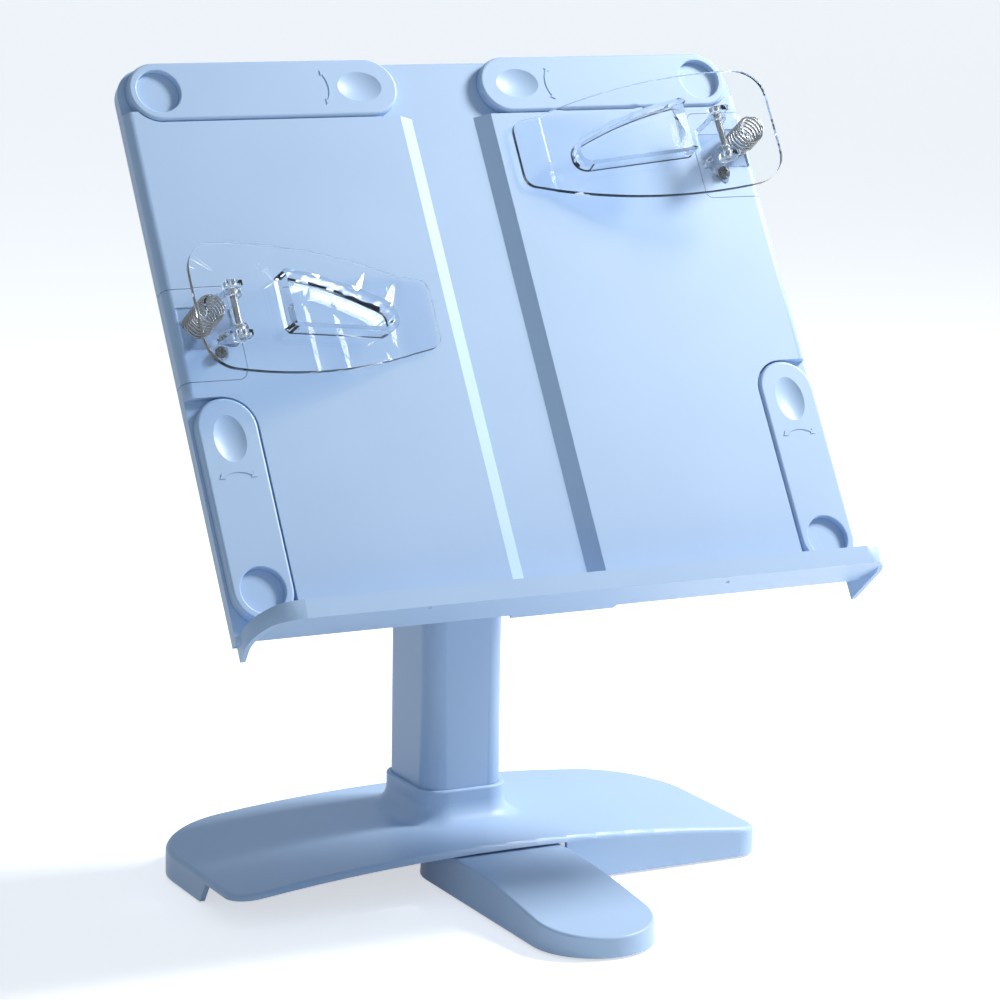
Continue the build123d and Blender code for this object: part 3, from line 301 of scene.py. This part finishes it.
black_steel = drawn_steel("blackened_steel", (0.07, 0.07, 0.075), 0.26)
page_up = Vector(joints["clip_press_left"]["axis"])
page_out = Vector(joints["top_arm_left_swing"]["axis"])
long_screw = pan_screw(head_radius=0.0036, head_tall=0.0022, shank_radius=0.0015, length=0.0074)
drive_screws("foot_pivot_screw", "base", long_screw, Vector((0, 0, -1)))
drive_screws("column_screws", "base", long_screw, Vector((0, 0, -1)))
bpy.data.objects.remove(long_screw)
short_screw = pan_screw(head_radius=0.0036, head_tall=0.0022, shank_radius=0.0015, length=0.0034)
drive_screws("bracket_screws", "panel", short_screw, -page_out)
drive_screws("arm_screws", "panel", short_screw, -page_out)
bpy.data.objects.remove(short_screw)


# Tilt hinge: a bracket screwed to the panel's back turns on the shaft, with a cap on each end.
for node in ("hinge_bracket", "shaft_caps"):
    finish_node(node, body_blue, edge=0.0005)


# Page panel: one thin moulding with two raised page surfaces, a spine channel and the page ledge.
panel_board = finish_node("panel_board", body_blue, edge=0.0005)


# Gate marks: the two small nibs on the lip's front face where the moulding was fed. Each one's place
# is found along the camera's line of sight through its point in the picture.
bpy.context.view_layer.update()
half_picture_px = 500
half_view = camera.data.sensor_width / 2 / camera.data.lens
nib_radius = 0.0008
nib_tall = 0.0007
nib_rim = 0.0004
nib_hollow = 0.0003
for side, across_px, down_px in (("left", 430, 608), ("right", 728, 582)):
    sight = camera_turn @ Vector(((across_px - half_picture_px) / half_picture_px * half_view,
                                  (half_picture_px - down_px) / half_picture_px * half_view, -1))
    place, normal = panel_board.ray_cast(camera.location, sight.normalized())[1:3]
    bpy.ops.object.select_all(action="DESELECT")
    bpy.ops.mesh.primitive_cylinder_add(vertices=24, radius=nib_radius, depth=nib_tall, location=place,
                                        rotation=normal.to_track_quat("Z", "Y").to_euler())
    nib = bpy.context.object
    nib.name = f"gate_mark_{side}"
    bpy.ops.object.transform_apply(location=True, rotation=True, scale=True)
    bpy.context.tool_settings.mesh_select_mode = (False, False, True)
    for face in nib.data.polygons:
        face.select = face.normal.dot(normal) > 0.9
    bpy.ops.object.mode_set(mode="EDIT")
    bpy.ops.mesh.inset(thickness=nib_rim)
    bpy.ops.transform.translate(value=-nib_hollow * normal)
    bpy.ops.object.mode_set(mode="OBJECT")
    bpy.ops.object.shade_smooth_by_angle(angle=math.radians(30))
    nib.data.materials.append(body_blue)
    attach(nib, "panel")


# Page stops: four arms that swing on round caps, each with a finger dimple.
arms = ("top_arm_left", "top_arm_right", "side_arm_left", "side_arm_right")
for node in arms:
    finish_node(node, body_blue)
finish_node("arm_pivot_caps", body_blue)


# Clip blocks: a blue block slid onto the panel's side edge, flush with the page, carries a clear bracket.
def clear_plastic(name, tint):
    material = bpy.data.materials.new(name)
    material.use_nodes = True
    nodes, links = material.node_tree.nodes, material.node_tree.links
    shader = nodes["Principled BSDF"]
    shader.inputs["Base Color"].default_value = (*tint, 1)
    shader.inputs["Transmission Weight"].default_value = 1
    shader.inputs["Roughness"].default_value = 0.02
    shader.inputs["IOR"].default_value = 1.49
    place = nodes.new("ShaderNodeTexCoord")
    flow = nodes.new("ShaderNodeTexNoise")
    flow.inputs["Scale"].default_value = 70
    links.new(place.outputs["Object"], flow.inputs["Vector"])
    bump = nodes.new("ShaderNodeBump")
    bump.inputs["Strength"].default_value = 0.02
    bump.inputs["Distance"].default_value = 0.0003
    links.new(flow.outputs["Fac"], bump.inputs["Height"])
    links.new(bump.outputs["Normal"], shader.inputs["Normal"])
    through = nodes.new("ShaderNodeBsdfTransparent")
    through.inputs["Color"].default_value = (0.86, 0.9, 0.95, 1)
    ray = nodes.new("ShaderNodeLightPath")
    mixed = nodes.new("ShaderNodeMixShader")
    lit_through = nodes.new("ShaderNodeMath")
    lit_through.operation = "MAXIMUM"
    links.new(ray.outputs["Is Shadow Ray"], lit_through.inputs[0])
    links.new(ray.outputs["Is Diffuse Ray"], lit_through.inputs[1])
    links.new(lit_through.outputs["Value"], mixed.inputs["Fac"])
    links.new(shader.outputs["BSDF"], mixed.inputs[1])
    links.new(through.outputs["BSDF"], mixed.inputs[2])
    links.new(mixed.outputs["Shader"], nodes["Material Output"].inputs["Surface"])
    return material


clear = clear_plastic("clear_styrene", (0.97, 0.985, 1.0))
for side in ("left", "right"):
    finish_node(f"clip_slider_{side}", body_blue)
    finish_node(f"clip_bracket_{side}", clear, edge=0.0003)
    # Pins and springs take the steel whose colour is painted dark as painted shade for reflected dark
    # surroundings.
    finish_node(f"clip_pin_{side}", bright_steel_painted_dark)
    finish_node(f"clip_spring_{side}", bright_steel_painted_dark)


# Bracket screws: one small dark pan head holds each clear bracket down on its block.
small_screw = pan_screw(head_radius=0.0027, head_tall=0.0018, shank_radius=0.001, length=0.0054)
for side in ("left", "right"):
    drive_screws(f"clip_screw_{side}", "panel", small_screw, page_out)
bpy.data.objects.remove(small_screw)


# Clips: clear sprung levers with a tall rib frame and a jaw that presses on the page. The frame stands
# nearer the hinge than on the plain part and higher, and the spring's seat is a shallow disc.
lever_slope = math.radians(13)
lever_edge = 0.0004
plate_top = 0.00713
seat_face = 0.0041
merge_gap = 2e-6
level_slack = 5e-5
frame_rise = 0.005
frame_shift = 0.0062
rib_least = 0.002
frame_along = (-0.0865, -0.0245)
frame_across = (-0.0128, 0.0155)
seat_along = (0.008, 0.02)
seat_half = 0.0055
for side, tailward in (("left", -1), ("right", 1)):
    node = f"clip_lever_{side}"
    hinge = Vector(joints[f"clip_press_{side}"]["pos_m"])
    to_tail = math.cos(lever_slope) * Vector((tailward, 0, 0)) + math.sin(lever_slope) * page_out
    off_plate = math.cos(lever_slope) * page_out - math.sin(lever_slope) * Vector((tailward, 0, 0))
    shape = bmesh.new()
    shape.from_mesh(frame["nodes"][node].data)
    bmesh.ops.remove_doubles(shape, verts=shape.verts, dist=merge_gap)
    for vertex in shape.verts:
        arm = vertex.co - hinge
        along = arm.dot(to_tail)
        across = arm.dot(page_up)
        height = arm.dot(off_plate)
        in_frame = frame_along[0] < along < frame_along[1] and frame_across[0] < across < frame_across[1]
        if in_frame and height > plate_top - level_slack:
            vertex.co += frame_shift * to_tail
            if height > plate_top + rib_least:
                vertex.co += frame_rise * off_plate
        at_seat = seat_along[0] < along < seat_along[1] and abs(across) < seat_half
        if at_seat and height < seat_face:
            vertex.co += (seat_face - height) * off_plate
    outline = bpy.data.meshes.new(f"clear_clip_{side}")
    shape.to_mesh(outline)
    shape.free()
    lever = bpy.data.objects.new(f"clear_clip_{side}", outline)
    bpy.context.scene.collection.objects.link(lever)
    round_edges(lever, "polished edges", lever_edge, segments=3)
    lever.data.materials.append(clear)
    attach(lever, f"clip_{side}")
    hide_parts(node)


# Floor and light: a white table top that runs on as a pale backdrop, a lamp close on the right and
# above, and a weak one on the left. Seen directly or in a reflection, the table glows a little.
def seen_not_lit(nodes, links):
    """One for rays from the eye, from a mirror or through clear plastic, and nothing for rays of light."""
    ray = nodes.new("ShaderNodeLightPath")
    direct = nodes.new("ShaderNodeMath")
    direct.operation = "MAXIMUM"
    links.new(ray.outputs["Is Camera Ray"], direct.inputs[0])
    links.new(ray.outputs["Is Glossy Ray"], direct.inputs[1])
    either = nodes.new("ShaderNodeMath")
    either.operation = "MAXIMUM"
    links.new(direct.outputs["Value"], either.inputs[0])
    links.new(ray.outputs["Is Transmission Ray"], either.inputs[1])
    return either.outputs["Value"]


bpy.ops.mesh.primitive_plane_add(size=60, location=(0, 0, 0))
floor = bpy.context.object
floor.name = "floor"
floor_paint = bpy.data.materials.new("white_table")
floor_paint.use_nodes = True
nodes, links = floor_paint.node_tree.nodes, floor_paint.node_tree.links
paint = nodes["Principled BSDF"]
paint.inputs["Base Color"].default_value = (0.88, 0.9, 0.92, 1)
paint.inputs["Roughness"].default_value = 0.7
place = nodes.new("ShaderNodeTexCoord")
away = nodes.new("ShaderNodeVectorMath")
away.operation = "LENGTH"
links.new(place.outputs["Object"], away.inputs[0])
glow = nodes.new("ShaderNodeMapRange")
glow.inputs["From Min"].default_value = 0.3
glow.inputs["From Max"].default_value = 3
glow.inputs["To Min"].default_value = 0.6
glow.inputs["To Max"].default_value = 0.62
links.new(away.outputs["Value"], glow.inputs["Value"])
seen = seen_not_lit(nodes, links)
strength = nodes.new("ShaderNodeMath")
strength.operation = "MULTIPLY"
links.new(glow.outputs["Result"], strength.inputs[0])
links.new(seen, strength.inputs[1])
paint.inputs["Emission Color"].default_value = (0.98, 0.99, 1, 1)
links.new(strength.outputs["Value"], paint.inputs["Emission Strength"])
floor.data.materials.append(floor_paint)


def soft_lamp(name, place, size, power, tint):
    bpy.ops.object.light_add(type="AREA", location=place)
    lamp = bpy.context.object
    lamp.name = name
    lamp.data.size = size
    lamp.data.energy = power
    lamp.data.color = tint
    lamp.rotation_euler = (lamp.location - view_aim).to_track_quat("Z", "Y").to_euler()


soft_lamp("key_lamp", place=(1.12, -0.16, 1.19), size=0.34, power=32, tint=(1, 0.99, 0.97))
soft_lamp("fill_lamp", place=(-0.6, -1.1, 0.55), size=0.8, power=1, tint=(0.82, 0.92, 1))
world = bpy.data.worlds.new("room")
bpy.context.scene.world = world
world.use_nodes = True
nodes, links = world.node_tree.nodes, world.node_tree.links
nodes["Background"].inputs["Color"].default_value = (0.76, 0.88, 1, 1)
seen = seen_not_lit(nodes, links)
room_level = nodes.new("ShaderNodeMapRange")
room_level.inputs["To Min"].default_value = 0.27
room_level.inputs["To Max"].default_value = 0.9
links.new(seen, room_level.inputs["Value"])
links.new(room_level.outputs["Result"], nodes["Background"].inputs["Strength"])
bpy.context.scene.view_settings.view_transform = "Standard"
